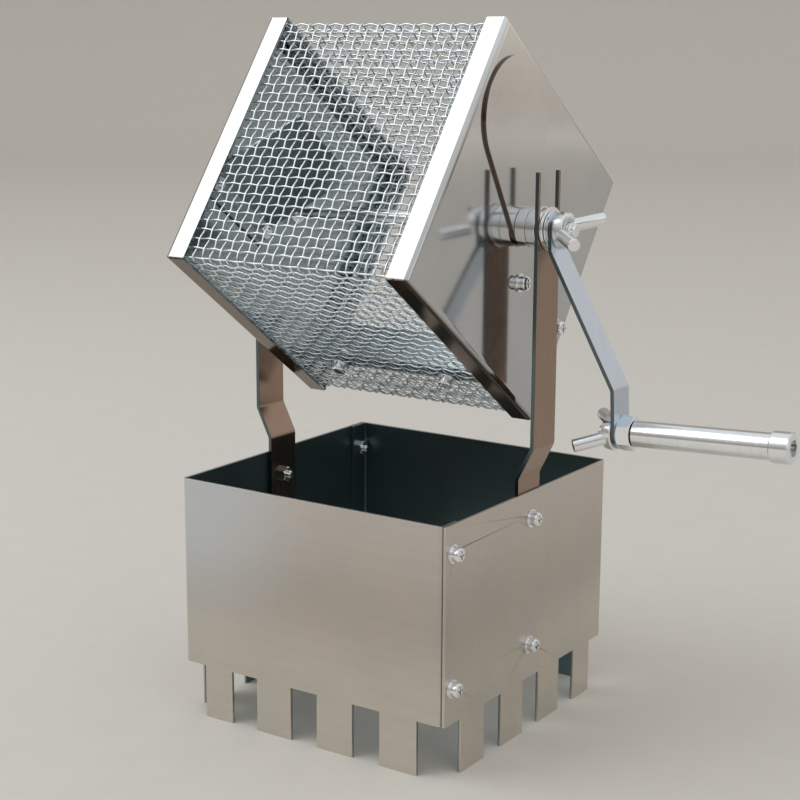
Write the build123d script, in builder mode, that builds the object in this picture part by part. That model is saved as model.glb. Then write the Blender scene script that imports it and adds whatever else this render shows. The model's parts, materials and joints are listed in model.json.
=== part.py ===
from build123d import *
import os
from math import cos, radians, sin, sqrt

# Stovetop coffee bean roaster, millimetres.
# Origin on the surface under the centre of the stand, +X along the drum shaft to the
# crank, +Y to the back, +Z up.

# ---------------------------------------------------------------- driving dimensions
# stand: two bent panels that lock together at two corners
stand_width = 120.0            # outside, along X
stand_depth = 120.0            # outside, along Y
stand_height = 95.0
stand_sheet = 1.2
stand_bend_radius = 2.0        # outside of the bend
stand_flange_width = 10.0      # tucked inside the neighbouring wall
wall_edge_setback = 0.4        # of a wall's free edge from the stand's corner
foot_height = 21.0
foot_width = 16.2
foot_count = 4
foot_bend_margin = 7.0         # from the bent corner to the first foot
foot_end_margin = 11.6         # from the last foot to the wall's other corner

# supports: joggled straps with an open-topped slot
strap_width = 16.0
strap_sheet = 1.5
strap_bottom = 27.0            # height of the strap's lower end
strap_joggle_rise = 12.0       # height of the slanted stretch
strap_joggle_above_wall = 6.0  # from the top of the wall to the slanted stretch
strap_above_shaft = 20.6
strap_bend_radius = 3.0        # of the strap's middle line
slot_width = 13.2

# stand fasteners
stand_screw_heights = (34.5, 84.5)
corner_screw_inset = 5.0       # from the outside of the stand's corner

# drum; u runs across and v up in the drum's own square, which is turned at rest
drum_length = 107.0            # outside, along X
drum_side = 107.0              # outside, across the flats
drum_angle = 36.3              # turn of the drum at rest, about X
shaft_height = 193.6
plate_sheet = 1.0
plate_flange_depth = 9.2       # along X, over the mesh
plate_bend_radius = 2.5        # outside of the bend
plate_corner_gap = 0.6         # open cut between two flanges
plate_corner_keep = 0.5        # of the face inside the mesh that the cut leaves whole
mesh_thickness = 1.5
mesh_gaps_along = 13           # simplified gaps along X
mesh_gaps_across = 15          # simplified gaps around the drum
mesh_bar = 1.6                 # bar between two gaps
mesh_rim = 2.4                 # from the edge of a mesh face to its first gap
port_diameter = 36.0
port_distance = 40.0           # from the shaft to the centre of the port
cover_overlap = 4.0            # of the cover around the port
cover_eye_radius = 7.0
cover_sheet = 1.0
cover_gap = 0.1                # each side of the cover sheet

# shaft and its fittings
shaft_diameter = 6.0
spigot_diameter = 8.0
spigot_clearance = 0.1         # radial, cover eye on the spigot
collar_diameter = 15.0
collar_length = 4.0
bush_end_play = 0.2            # collar to bush, bush to strap, bush to washer
bush_barrel_diameter = 15.0
bush_barrel_length = 3.2
bush_flange_diameter = 16.0
bush_flange_length = 1.0
bush_neck_clearance = 0.2      # radial, neck in the slot
running_clearance = 0.05       # radial, shaft in the bush
thread_clearance = 0.1         # radial, nut on its screw
shaft_nut_flats = 10.0
shaft_nut_thickness = 4.0
end_washer_diameter = 13.4
end_washer_thickness = 1.6
thread_past_nut = 1.6          # screw end that stands past its nut
thread_chamfer = 0.5

# crank and handle
arm_width = 12.0
arm_sheet = 1.5
arm_radius = 71.2              # from the shaft to the handle
arm_offset = 27.2              # joggle along X
arm_joggle_start = 7.5         # below the shaft
arm_joggle_end = 16.0          # above the handle
arm_bend_radius = 2.5          # of the arm's middle line
handle_screw_diameter = 6.0
handle_rise = 2.7              # of the handle away from the arm, degrees
handle_nut_flats = 11.2
handle_nut_thickness = 5.2
handle_head_diameter = 11.2
handle_head_length = 7.0
handle_socket_flats = 5.6
handle_socket_depth = 3.2
sleeve_length = 51.5
sleeve_diameter = 9.6
sleeve_clearance = 0.1         # radial, sleeve on its screw
sleeve_end_play = 0.3

# wing nuts
wing_hub_diameter = 14.0
wing_hub_top_diameter = 12.4
wing_hub_length = 4.0
wing_rod_diameter = 4.8
wing_tip_radius = 12.3         # from the axis of the thread to the wing's tip
wing_tip_rise = 12.1           # from the nut's seat to the wing's tip
wing_root_radius = 4.4
wing_root_rise = 2.6
wing_tip_fillet = 0.8
wing_thread_past = 2.8         # screw end that stands past the hub
wing_angle = 18.5              # of the wings at rest, from level
wing_seat_gap = 0.1

# small screws, washers and nuts
screw_diameter = 3.0
hole_clearance = 0.1           # radial, screw in its hole
head_diameter = 5.6
head_height = 2.4
head_fillet = 1.0
recess_length = 3.2
recess_width = 0.7
recess_depth = 1.2
flat_washer_diameter = 7.0
flat_washer_thickness = 0.5
spring_washer_diameter = 5.6
spring_washer_thickness = 0.8
spring_washer_cut = 0.5
nut_flats = 5.5
nut_thickness = 2.4
nut_chamfer_share = 0.12       # of a nut's thickness, at its corners

# vanes inside the drum
vane_sheet = 1.0
vane_bend_radius = 1.5         # of the sheet's middle line
end_vane_inner_edge = 8.0      # u of the edge beside the shaft
end_vane_rim_gap = 1.5         # from the outer edge to the mesh
end_vane_root_level = -13.0    # v of the bend
end_vane_free_level = 12.0     # v of the free edge
end_vane_reach = 30.0          # from the end plate to the free edge, along X
end_vane_tab = 9.3             # on the end plate, below the bend
end_vane_screw_drop = 4.0      # from the bend to the screws
end_vane_screw_inset = 3.5     # from the vane's edges to its screws
angle_vane_u = 25.0            # u of the mesh screws
angle_vane_foot = 11.0
angle_vane_height = 18.0
angle_vane_end_gap = 8.0       # from the end plates
mesh_screw_spacing = 49.0
mesh_screw_shift = 4.5         # of the pair, along X

# ---------------------------------------------------------------- worked out from them
half_width = stand_width / 2
half_depth = stand_depth / 2
half_length = drum_length / 2
half_side = drum_side / 2
inner_wall_x = half_width - stand_sheet
hole_radius = screw_diameter / 2 + hole_clearance
washer_stack = flat_washer_thickness + spring_washer_thickness
plate_inner_x = half_length - plate_sheet
mesh_outer = half_side - plate_sheet
mesh_inner = mesh_outer - mesh_thickness
mesh_half_length = half_length - plate_bend_radius
port_offset = port_distance / sqrt(2)
cover_radius = port_diameter / 2 + cover_overlap

# stations along the shaft, from the end plate outwards
collar_x = half_length + cover_sheet + 2 * cover_gap
bush_x = collar_x + collar_length + bush_end_play
bush_flange_x = bush_x + bush_barrel_length
bush_neck_x = bush_flange_x + bush_flange_length
strap_inner_x = bush_neck_x + bush_end_play
outer_flange_x = strap_inner_x + strap_sheet + bush_end_play
bush_end_x = outer_flange_x + bush_flange_length
washer_x = bush_end_x + bush_end_play
washer_end_x = washer_x + end_washer_thickness
arm_outer_x = washer_end_x + arm_sheet
crank_nut_x = arm_outer_x + wing_seat_gap
shaft_right_x = crank_nut_x + wing_hub_length + wing_thread_past
shaft_left_x = washer_end_x + shaft_nut_thickness + thread_past_nut

# the handle's axis, and stations along it from the arm's outer face
handle_turn = radians(handle_rise)
handle_way = Vector(cos(handle_turn), 0, sin(handle_turn))
handle_down = Vector(sin(handle_turn), 0, -cos(handle_turn))
handle_arm_x = arm_outer_x + arm_offset
handle_nut_seat = -arm_sheet - wing_seat_gap
sleeve_start = handle_nut_thickness + sleeve_end_play
handle_head_seat = sleeve_start + sleeve_length + sleeve_end_play
handle_screw_end = handle_nut_seat - wing_hub_length - wing_thread_past

# the drum's own directions and planes
turn = radians(drum_angle)
u_direction = Vector(0, cos(turn), -sin(turn))
v_direction = Vector(0, sin(turn), cos(turn))
shaft_center = Vector(0, 0, shaft_height)
handle_center = shaft_center + Vector(handle_arm_x, 0, -arm_radius)
end_plane = Plane(origin=shaft_center, x_dir=u_direction, z_dir=(1, 0, 0))
long_plane = Plane(origin=shaft_center, x_dir=(1, 0, 0), z_dir=-u_direction)
face_planes = {
    "front_top": Plane(origin=shaft_center, x_dir=(1, 0, 0), z_dir=-u_direction),
    "top_back": Plane(origin=shaft_center, x_dir=(1, 0, 0), z_dir=v_direction),
    "back_bottom": Plane(origin=shaft_center, x_dir=(1, 0, 0), z_dir=u_direction),
    "bottom_front": Plane(origin=shaft_center, x_dir=(1, 0, 0), z_dir=-v_direction),
}
end_vane_outer_edge = mesh_inner - end_vane_rim_gap
end_screw_v = end_vane_root_level - end_vane_screw_drop
end_screw_us = (end_vane_inner_edge + end_vane_screw_inset, end_vane_outer_edge - end_vane_screw_inset)
mesh_screw_xs = (mesh_screw_shift - mesh_screw_spacing / 2, mesh_screw_shift + mesh_screw_spacing / 2)

# where the stand's screws enter the walls: the outside point and the way out
corner_sites = [
    (Vector(side * half_width, -side * (half_depth - corner_screw_inset), height), Vector(side, 0, 0))
    for side in (-1, 1)
    for height in stand_screw_heights
]
support_sites = [
    (Vector(side * half_width, 0, height), Vector(side, 0, 0))
    for side in (-1, 1)
    for height in stand_screw_heights
]
corner_grip = 2 * stand_sheet
support_grip = stand_sheet + strap_sheet

# where the vanes' screws enter the drum; the left end's lie across the shaft from the right end's
end_sites = [
    (end_plane.from_local_coords((side * u, end_screw_v, side * half_length)), Vector(side, 0, 0))
    for side in (-1, 1)
    for u in end_screw_us
]
mesh_sites = [
    (shaft_center + Vector(x, 0, 0) + u_direction * angle_vane_u - v_direction * mesh_outer, -v_direction)
    for x in mesh_screw_xs
]
end_grip = plate_sheet + vane_sheet
mesh_grip = mesh_thickness + vane_sheet

os.makedirs("parts", exist_ok=True)


def save(builder, name):
    """Label one finished piece and write it."""
    builder.part.label = name
    export_step(builder.part, f"parts/{name}.step")


def seats(sites, lift=0.0, inward=False):
    """Planes on the given sites, lifted outwards, facing out or in."""
    turned = -1 if inward else 1
    return [Plane(origin=point + way * lift, z_dir=way * turned) for point, way in sites]


# ---------------------------------------------------------------- common fasteners
def pan_screw(grip):
    """Pan head screw with a cross recess; its head sits on Z = 0 and it points down."""
    shank = washer_stack + grip + nut_thickness + thread_past_nut
    with BuildPart() as screw:
        Cylinder(head_diameter / 2, head_height, align=(Align.CENTER, Align.CENTER, Align.MIN))
        fillet(screw.edges().group_by(Axis.Z)[-1], head_fillet)
        Cylinder(screw_diameter / 2, shank, align=(Align.CENTER, Align.CENTER, Align.MAX))
        chamfer(screw.faces().sort_by(Axis.Z)[0].edges(), thread_chamfer)
        with BuildSketch(Plane.XY.offset(head_height)):
            Rectangle(recess_length, recess_width)
            Rectangle(recess_width, recess_length)
        extrude(amount=-recess_depth, mode=Mode.SUBTRACT)
    return screw.part


def flat_washer(outer_diameter, bore_radius, thickness):
    """Flat ring that lies on Z = 0."""
    with BuildPart() as washer:
        with BuildSketch():
            Circle(outer_diameter / 2)
            Circle(bore_radius, mode=Mode.SUBTRACT)
        extrude(amount=thickness)
    return washer.part


def spring_washer():
    """Split ring that lies on Z = 0."""
    with BuildPart() as washer:
        add(flat_washer(spring_washer_diameter, hole_radius, spring_washer_thickness))
        with Locations((spring_washer_diameter / 2, 0, spring_washer_thickness / 2)):
            Box(
                spring_washer_diameter,
                spring_washer_cut,
                spring_washer_thickness,
                rotation=(30, 0, 0),
                mode=Mode.SUBTRACT,
            )
    return washer.part


def hex_nut(flats, thickness, bore_radius):
    """Hexagon nut that lies on Z = 0, its corners turned off at both ends."""
    corner_radius = flats / sqrt(3)
    drop = thickness * nut_chamfer_share
    with BuildPart() as nut:
        with BuildSketch():
            RegularPolygon(flats / 2, 6, major_radius=False)
            Circle(bore_radius, mode=Mode.SUBTRACT)
        extrude(amount=thickness)
        with BuildSketch(Plane.XZ):
            with BuildLine():
                Polyline(
                    (0, 0),
                    (flats / 2, 0),
                    (corner_radius, drop),
                    (corner_radius, thickness - drop),
                    (flats / 2, thickness),
                    (0, thickness),
                    close=True,
                )
            make_face()
        revolve(axis=Axis.Z, mode=Mode.INTERSECT)
    return nut.part


def wing_nut(bore_radius):
    """Nut with two slanting round wings along X; it lies on Z = 0."""
    rise = wing_tip_rise - wing_root_rise
    run = wing_tip_radius - wing_root_radius
    with BuildPart() as nut:
        with BuildSketch():
            Circle(wing_hub_diameter / 2)
        with BuildSketch(Plane.XY.offset(wing_hub_length)):
            Circle(wing_hub_top_diameter / 2)
        loft()
        for side in (-1, 1):
            root = Vector(side * wing_root_radius, 0, wing_root_rise)
            along = Vector(side * run, 0, rise)
            with BuildPart(Plane(origin=root, z_dir=along), mode=Mode.PRIVATE) as wing:
                Cylinder(wing_rod_diameter / 2, along.length, align=(Align.CENTER, Align.CENTER, Align.MIN))
                fillet(wing.edges().sort_by_distance(root + along)[0], wing_tip_fillet)
            add(wing.part)
        Cylinder(bore_radius, 4 * wing_hub_length, mode=Mode.SUBTRACT)
    return nut.part


# ---------------------------------------------------------------- stand
def foot_cuts(wall_length):
    """Start and width of each cut in the lower edge of a wall, from its bent corner."""
    feet_length = wall_length - foot_bend_margin - foot_end_margin
    slot_length = (feet_length - foot_count * foot_width) / (foot_count - 1)
    cuts = [(0, foot_bend_margin), (wall_length - foot_end_margin, foot_end_margin)]
    for number in range(1, foot_count):
        slot_end = foot_bend_margin + number * (foot_width + slot_length)
        cuts.append((slot_end - slot_length, slot_length))
    return cuts


with BuildPart() as front_left_panel:
    middle = stand_sheet / 2
    with BuildSketch():
        with BuildLine():
            FilletPolyline(
                (middle - half_width, half_depth - wall_edge_setback),
                (middle - half_width, middle - half_depth),
                (inner_wall_x - middle, middle - half_depth),
                (inner_wall_x - middle, stand_flange_width - half_depth),
                radius=stand_bend_radius - middle,
            )
        trace(line_width=stand_sheet)
    extrude(amount=stand_height)
    low_edge = (Align.MIN, Align.MIN, Align.MIN)
    for start, width in foot_cuts(stand_width):
        with Locations((start - half_width, -half_depth, 0)):
            Box(width, stand_flange_width, foot_height, align=low_edge, mode=Mode.SUBTRACT)
    for start, width in foot_cuts(stand_depth):
        with Locations((-half_width, start - half_depth, 0)):
            Box(stand_flange_width, width, foot_height, align=low_edge, mode=Mode.SUBTRACT)
    with Locations(*[Plane(origin=point, z_dir=way) for point, way in corner_sites]):
        Cylinder(hole_radius, 3 * corner_grip, mode=Mode.SUBTRACT)
    with Locations(*[Plane(origin=point, z_dir=way) for point, way in support_sites if way.X < 0]):
        Cylinder(hole_radius, 3 * corner_grip, mode=Mode.SUBTRACT)
save(front_left_panel, "front_left_panel")

with BuildPart() as back_right_panel:
    add(front_left_panel.part, rotation=(0, 0, 180))
save(back_right_panel, "back_right_panel")

with BuildPart() as right_support:
    low_x = inner_wall_x - strap_sheet / 2
    high_x = strap_inner_x + strap_sheet / 2
    joggle_start = stand_height + strap_joggle_above_wall
    with BuildSketch(Plane.XZ):
        with BuildLine():
            FilletPolyline(
                (low_x, strap_bottom),
                (low_x, joggle_start),
                (high_x, joggle_start + strap_joggle_rise),
                (high_x, shaft_height + strap_above_shaft),
                radius=strap_bend_radius,
            )
        trace(line_width=strap_sheet)
    extrude(amount=strap_width / 2, both=True)
    with BuildSketch(Plane.YZ):
        with Locations((0, shaft_height)):
            Circle(slot_width / 2)
            Rectangle(slot_width, 2 * strap_above_shaft, align=(Align.CENTER, Align.MIN))
    extrude(amount=2 * half_width, mode=Mode.SUBTRACT)
    with Locations(*[Plane(origin=point, z_dir=way) for point, way in support_sites]):
        Cylinder(hole_radius, 3 * support_grip, mode=Mode.SUBTRACT)
save(right_support, "right_support")

with BuildPart() as left_support:
    add(right_support.part, rotation=(0, 0, 180))
save(left_support, "left_support")

# ---------------------------------------------------------------- stand fasteners
with BuildPart() as corner_screws:
    with Locations(*seats(corner_sites, lift=washer_stack)):
        add(pan_screw(corner_grip))
save(corner_screws, "corner_screws")

with BuildPart() as support_screws:
    with Locations(*seats(support_sites, lift=washer_stack)):
        add(pan_screw(support_grip))
save(support_screws, "support_screws")

with BuildPart() as stand_spring_washers:
    with Locations(*seats(corner_sites + support_sites, lift=flat_washer_thickness)):
        add(spring_washer())
save(stand_spring_washers, "stand_spring_washers")

with BuildPart() as stand_flat_washers:
    with Locations(*seats(corner_sites + support_sites)):
        add(flat_washer(flat_washer_diameter, hole_radius, flat_washer_thickness))
save(stand_flat_washers, "stand_flat_washers")

with BuildPart() as stand_nuts:
    inner_seats = seats(corner_sites, lift=-corner_grip, inward=True)
    inner_seats += seats(support_sites, lift=-support_grip, inward=True)
    with Locations(*inner_seats):
        add(hex_nut(nut_flats, nut_thickness, screw_diameter / 2 + thread_clearance))
save(stand_nuts, "stand_nuts")

# ---------------------------------------------------------------- bearing bushes
with BuildPart() as right_bush:
    barrel = bush_barrel_diameter / 2
    flange = bush_flange_diameter / 2
    neck = slot_width / 2 - bush_neck_clearance
    bore = shaft_diameter / 2 + running_clearance
    with BuildSketch(Plane(origin=shaft_center, x_dir=(1, 0, 0), z_dir=(0, -1, 0))):
        with BuildLine():
            Polyline(
                (bush_x, bore),
                (bush_x, barrel),
                (bush_flange_x, barrel),
                (bush_flange_x, flange),
                (bush_neck_x, flange),
                (bush_neck_x, neck),
                (outer_flange_x, neck),
                (outer_flange_x, flange),
                (bush_end_x, flange),
                (bush_end_x, bore),
                close=True,
            )
        make_face()
    revolve(axis=Axis(shaft_center, (1, 0, 0)))
save(right_bush, "right_bush")

with BuildPart() as left_bush:
    mirror(right_bush.part, about=Plane.YZ)
save(left_bush, "left_bush")


# ---------------------------------------------------------------- drum
def pan_block(side, depth, radius):
    """Square block whose far face sits on Z = 0, with rounded far edges."""
    with BuildPart() as block:
        Box(side, side, depth, align=(Align.CENTER, Align.CENTER, Align.MAX))
        fillet(block.faces().sort_by(Axis.Z)[-1].edges(), radius)
    return block.part


def end_plate(screw_side, with_port):
    """End plate of the drum with its four flanges, its outer face on Z = 0."""
    inner_radius = plate_bend_radius - plate_sheet
    corner_keep = 2 * (mesh_outer - plate_corner_keep)
    with BuildPart() as plate:
        add(pan_block(drum_side, plate_flange_depth, plate_bend_radius))
        with Locations((0, 0, -plate_sheet)):
            add(pan_block(drum_side - 2 * plate_sheet, plate_flange_depth, inner_radius), mode=Mode.SUBTRACT)
        with BuildSketch(Plane.XY.offset(-plate_bend_radius)):
            for corner in (45, 135, 225, 315):
                Rectangle(drum_side * 2, plate_corner_gap, rotation=corner)
            Rectangle(corner_keep, corner_keep, mode=Mode.SUBTRACT)
        extrude(amount=-plate_flange_depth, mode=Mode.SUBTRACT)
        with BuildSketch():
            Circle(shaft_diameter / 2 + thread_clearance)
            with Locations(*[(screw_side * u, end_screw_v) for u in end_screw_us]):
                Circle(hole_radius)
            if with_port:
                with Locations((-port_offset, port_offset)):
                    Circle(port_diameter / 2)
        extrude(amount=-plate_flange_depth, mode=Mode.SUBTRACT)
    return plate.part


with BuildPart() as right_end_plate:
    with Locations(end_plane.offset(half_length)):
        add(end_plate(screw_side=1, with_port=True))
save(right_end_plate, "right_end_plate")

with BuildPart() as left_end_plate:
    with Locations(end_plane.offset(half_length)):
        add(end_plate(screw_side=-1, with_port=False))
    mirror(about=Plane.YZ, mode=Mode.REPLACE)
save(left_end_plate, "left_end_plate")


def mesh_face(face_plane, half_span, screw_places=()):
    """One flat net of the drum, solid where a washer clamps it."""
    along = 2 * (mesh_half_length - mesh_rim) + mesh_bar
    across = 2 * (mesh_outer - mesh_rim) + mesh_bar
    along_pitch = along / mesh_gaps_along
    across_pitch = across / mesh_gaps_across
    with BuildPart() as net:
        with BuildSketch(face_plane.offset(mesh_outer)):
            Rectangle(2 * mesh_half_length, 2 * half_span)
            with GridLocations(along_pitch, across_pitch, mesh_gaps_along, mesh_gaps_across):
                Rectangle(along_pitch - mesh_bar, across_pitch - mesh_bar, mode=Mode.SUBTRACT)
            if screw_places:
                with Locations(*screw_places):
                    Circle(flat_washer_diameter / 2)
                    Circle(hole_radius, mode=Mode.SUBTRACT)
        extrude(amount=-mesh_thickness, clean=False)
    return net


for name, half_span, screw_places in (
    ("front_top", mesh_inner, ()),
    ("top_back", mesh_outer, ()),
    ("back_bottom", mesh_inner, ()),
    ("bottom_front", mesh_outer, [(x, -angle_vane_u) for x in mesh_screw_xs]),
):
    save(mesh_face(face_planes[name], half_span, screw_places), f"mesh_{name}")

# ---------------------------------------------------------------- vanes in the drum
with BuildPart() as right_vane:
    tab_x = plate_inner_x - vane_sheet / 2
    with BuildSketch(long_plane.offset(-end_vane_outer_edge)):
        with BuildLine():
            FilletPolyline(
                (tab_x, end_vane_root_level - end_vane_tab),
                (tab_x, end_vane_root_level),
                (plate_inner_x - end_vane_reach, end_vane_free_level),
                radius=vane_bend_radius,
            )
        trace(line_width=vane_sheet)
    extrude(amount=end_vane_outer_edge - end_vane_inner_edge)
    with Locations(*seats(end_sites)):
        Cylinder(hole_radius, 3 * end_grip, mode=Mode.SUBTRACT)
save(right_vane, "right_vane")

with BuildPart() as left_vane:
    add(right_vane.part.rotate(Axis(shaft_center, v_direction), 180))
save(left_vane, "left_vane")

with BuildPart() as angle_vane:
    vane_half_length = plate_inner_x - angle_vane_end_gap
    foot_v = vane_sheet / 2 - mesh_inner
    web_u = angle_vane_u + (angle_vane_foot - vane_sheet) / 2
    with BuildSketch(end_plane.offset(-vane_half_length)):
        with BuildLine():
            FilletPolyline(
                (angle_vane_u - angle_vane_foot / 2, foot_v),
                (web_u, foot_v),
                (web_u, angle_vane_height - mesh_inner),
                radius=vane_bend_radius,
            )
        trace(line_width=vane_sheet)
    extrude(amount=2 * vane_half_length)
    with Locations(*seats(mesh_sites)):
        Cylinder(hole_radius, 4 * mesh_grip, mode=Mode.SUBTRACT)
save(angle_vane, "angle_vane")

with BuildPart() as end_vane_screws:
    with Locations(*seats(end_sites, lift=washer_stack)):
        add(pan_screw(end_grip))
save(end_vane_screws, "end_vane_screws")

with BuildPart() as mesh_screws:
    with Locations(*seats(mesh_sites, lift=washer_stack)):
        add(pan_screw(mesh_grip))
save(mesh_screws, "mesh_screws")

with BuildPart() as vane_spring_washers:
    with Locations(*seats(end_sites + mesh_sites, lift=flat_washer_thickness)):
        add(spring_washer())
save(vane_spring_washers, "vane_spring_washers")

with BuildPart() as vane_flat_washers:
    with Locations(*seats(end_sites + mesh_sites)):
        add(flat_washer(flat_washer_diameter, hole_radius, flat_washer_thickness))
save(vane_flat_washers, "vane_flat_washers")

with BuildPart() as vane_nuts:
    inner_seats = seats(end_sites, lift=-end_grip, inward=True)
    inner_seats += seats(mesh_sites, lift=-mesh_grip, inward=True)
    with Locations(*inner_seats):
        add(hex_nut(nut_flats, nut_thickness, screw_diameter / 2 + thread_clearance))
save(vane_nuts, "vane_nuts")

# ---------------------------------------------------------------- shaft and fittings
with BuildPart() as shaft:
    with BuildSketch(Plane(origin=shaft_center - Vector(shaft_left_x, 0, 0), z_dir=(1, 0, 0))):
        Circle(shaft_diameter / 2)
    extrude(amount=shaft_left_x + shaft_right_x)
    chamfer(shaft.edges().filter_by(GeomType.CIRCLE), thread_chamfer)
save(shaft, "shaft")

with BuildPart() as right_collar:
    with Locations(Plane(origin=shaft_center + Vector(half_length, 0, 0), z_dir=(1, 0, 0))):
        Cylinder(spigot_diameter / 2, collar_x - half_length, align=(Align.CENTER, Align.CENTER, Align.MIN))
    with Locations(Plane(origin=shaft_center + Vector(collar_x, 0, 0), z_dir=(1, 0, 0))):
        Cylinder(collar_diameter / 2, collar_length, align=(Align.CENTER, Align.CENTER, Align.MIN))
    with Locations(Plane(origin=shaft_center, z_dir=(1, 0, 0))):
        Cylinder(shaft_diameter / 2 + thread_clearance, 4 * half_length, mode=Mode.SUBTRACT)
save(right_collar, "right_collar")

with BuildPart() as left_collar:
    mirror(right_collar.part, about=Plane.YZ)
save(left_collar, "left_collar")

with BuildPart() as plate_nuts:
    with Locations(
        Plane(origin=shaft_center + Vector(plate_inner_x, 0, 0), z_dir=(-1, 0, 0)),
        Plane(origin=shaft_center - Vector(plate_inner_x, 0, 0), z_dir=(1, 0, 0)),
    ):
        add(hex_nut(shaft_nut_flats, shaft_nut_thickness, shaft_diameter / 2 + thread_clearance))
save(plate_nuts, "plate_nuts")

with BuildPart() as crank_washer:
    with Locations(Plane(origin=shaft_center + Vector(washer_x, 0, 0), z_dir=(1, 0, 0))):
        add(flat_washer(end_washer_diameter, shaft_diameter / 2 + thread_clearance, end_washer_thickness))
save(crank_washer, "crank_washer")

with BuildPart() as left_washer:
    mirror(crank_washer.part, about=Plane.YZ)
save(left_washer, "left_washer")

with BuildPart() as left_shaft_nut:
    with Locations(Plane(origin=shaft_center - Vector(washer_end_x, 0, 0), z_dir=(-1, 0, 0))):
        add(hex_nut(shaft_nut_flats, shaft_nut_thickness, shaft_diameter / 2 + thread_clearance))
save(left_shaft_nut, "left_shaft_nut")

# ---------------------------------------------------------------- port cover
with BuildPart() as port_cover:
    with BuildSketch(end_plane.offset(half_length + cover_gap)):
        Circle(cover_eye_radius)
        with Locations((-port_offset, port_offset)):
            Circle(cover_radius)
        make_hull()
        Circle(spigot_diameter / 2 + spigot_clearance, mode=Mode.SUBTRACT)
    extrude(amount=cover_sheet)
save(port_cover, "port_cover")

# ---------------------------------------------------------------- crank and handle
with BuildPart() as crank_arm:
    top_x = arm_outer_x - arm_sheet / 2
    leg = handle_center - shaft_center - handle_way * (arm_sheet / 2)
    leg_top = leg - handle_down * arm_joggle_end
    leg_end = leg + handle_down * arm_width
    with BuildSketch(Plane(origin=shaft_center, x_dir=(1, 0, 0), z_dir=(0, -1, 0))):
        with BuildLine():
            FilletPolyline(
                (top_x, arm_width),
                (top_x, -arm_joggle_start),
                (leg_top.X, leg_top.Z),
                (leg_end.X, leg_end.Z),
                radius=arm_bend_radius,
            )
        trace(line_width=arm_sheet)
    extrude(amount=arm_width, both=True)
    with BuildSketch(Plane(origin=shaft_center, x_dir=(0, 1, 0), z_dir=(1, 0, 0))):
        with Locations((0, -arm_radius / 2)):
            SlotCenterToCenter(arm_radius, arm_width, rotation=90)
        Circle(shaft_diameter / 2 + hole_clearance, mode=Mode.SUBTRACT)
    extrude(amount=2 * handle_arm_x, mode=Mode.INTERSECT)
    with Locations(Plane(handle_center, z_dir=handle_way)):
        Cylinder(handle_screw_diameter / 2 + hole_clearance, 4 * arm_sheet, mode=Mode.SUBTRACT)
save(crank_arm, "crank_arm")

wing_turn = radians(wing_angle)
wing_level = Vector(0, cos(wing_turn), 0)
wing_direction = wing_level + Vector(0, 0, sin(wing_turn))
handle_wing_direction = wing_level - handle_down * sin(wing_turn)

with BuildPart() as crank_wing_nut:
    with Locations(Plane(shaft_center + Vector(crank_nut_x, 0, 0), x_dir=wing_direction, z_dir=(1, 0, 0))):
        add(wing_nut(shaft_diameter / 2 + thread_clearance))
save(crank_wing_nut, "crank_wing_nut")

with BuildPart() as handle_wing_nut:
    seat = handle_center + handle_way * handle_nut_seat
    with Locations(Plane(seat, x_dir=handle_wing_direction, z_dir=-handle_way)):
        add(wing_nut(handle_screw_diameter / 2 + thread_clearance))
save(handle_wing_nut, "handle_wing_nut")

with BuildPart() as handle_nut:
    with Locations(Plane(handle_center, z_dir=handle_way)):
        add(hex_nut(handle_nut_flats, handle_nut_thickness, handle_screw_diameter / 2 + thread_clearance))
save(handle_nut, "handle_nut")

with BuildPart() as handle_screw:
    head_seat = handle_center + handle_way * handle_head_seat
    shank = handle_head_seat - handle_screw_end
    with Locations(Plane(head_seat, z_dir=handle_way)):
        Cylinder(handle_head_diameter / 2, handle_head_length, align=(Align.CENTER, Align.CENTER, Align.MIN))
    chamfer(handle_screw.faces().sort_by(Axis.X)[-1].edges(), thread_chamfer)
    with Locations(Plane(head_seat, z_dir=-handle_way)):
        Cylinder(handle_screw_diameter / 2, shank, align=(Align.CENTER, Align.CENTER, Align.MIN))
    chamfer(handle_screw.faces().sort_by(Axis.X)[0].edges(), thread_chamfer)
    with BuildSketch(Plane(head_seat + handle_way * handle_head_length, z_dir=handle_way)):
        RegularPolygon(handle_socket_flats / 2, 6, major_radius=False)
    extrude(amount=-handle_socket_depth, mode=Mode.SUBTRACT)
save(handle_screw, "handle_screw")

with BuildPart() as handle_sleeve:
    with BuildSketch(Plane(handle_center + handle_way * sleeve_start, z_dir=handle_way)):
        Circle(sleeve_diameter / 2)
        Circle(handle_screw_diameter / 2 + sleeve_clearance, mode=Mode.SUBTRACT)
    extrude(amount=sleeve_length)
save(handle_sleeve, "handle_sleeve")
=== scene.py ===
"""Stovetop coffee bean roaster: woven drum, wing nuts, threads, steel finishes and a small studio."""

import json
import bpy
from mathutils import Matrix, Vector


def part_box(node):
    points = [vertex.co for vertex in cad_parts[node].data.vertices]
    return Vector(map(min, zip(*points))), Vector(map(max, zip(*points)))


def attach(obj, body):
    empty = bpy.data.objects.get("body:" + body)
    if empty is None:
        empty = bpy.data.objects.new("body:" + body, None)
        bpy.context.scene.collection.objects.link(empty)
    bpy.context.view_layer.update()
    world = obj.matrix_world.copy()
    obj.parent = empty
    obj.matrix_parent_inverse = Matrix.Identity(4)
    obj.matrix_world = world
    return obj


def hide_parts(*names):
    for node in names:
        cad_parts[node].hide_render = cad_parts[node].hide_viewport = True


bl_info = {
    "name": "Coffee Roaster Finish",
    "version": (1, 0, 0),
    "blender": (4, 5, 0),
    "location": "View3D > Sidebar > Roaster",
    "description": "Weaves the drum, makes wing nuts and threads, and finishes a roaster's steel",
    "category": "Object",
}

from math import cos, pi, radians, sin, sqrt

import bpy
from mathutils import Matrix, Vector

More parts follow.
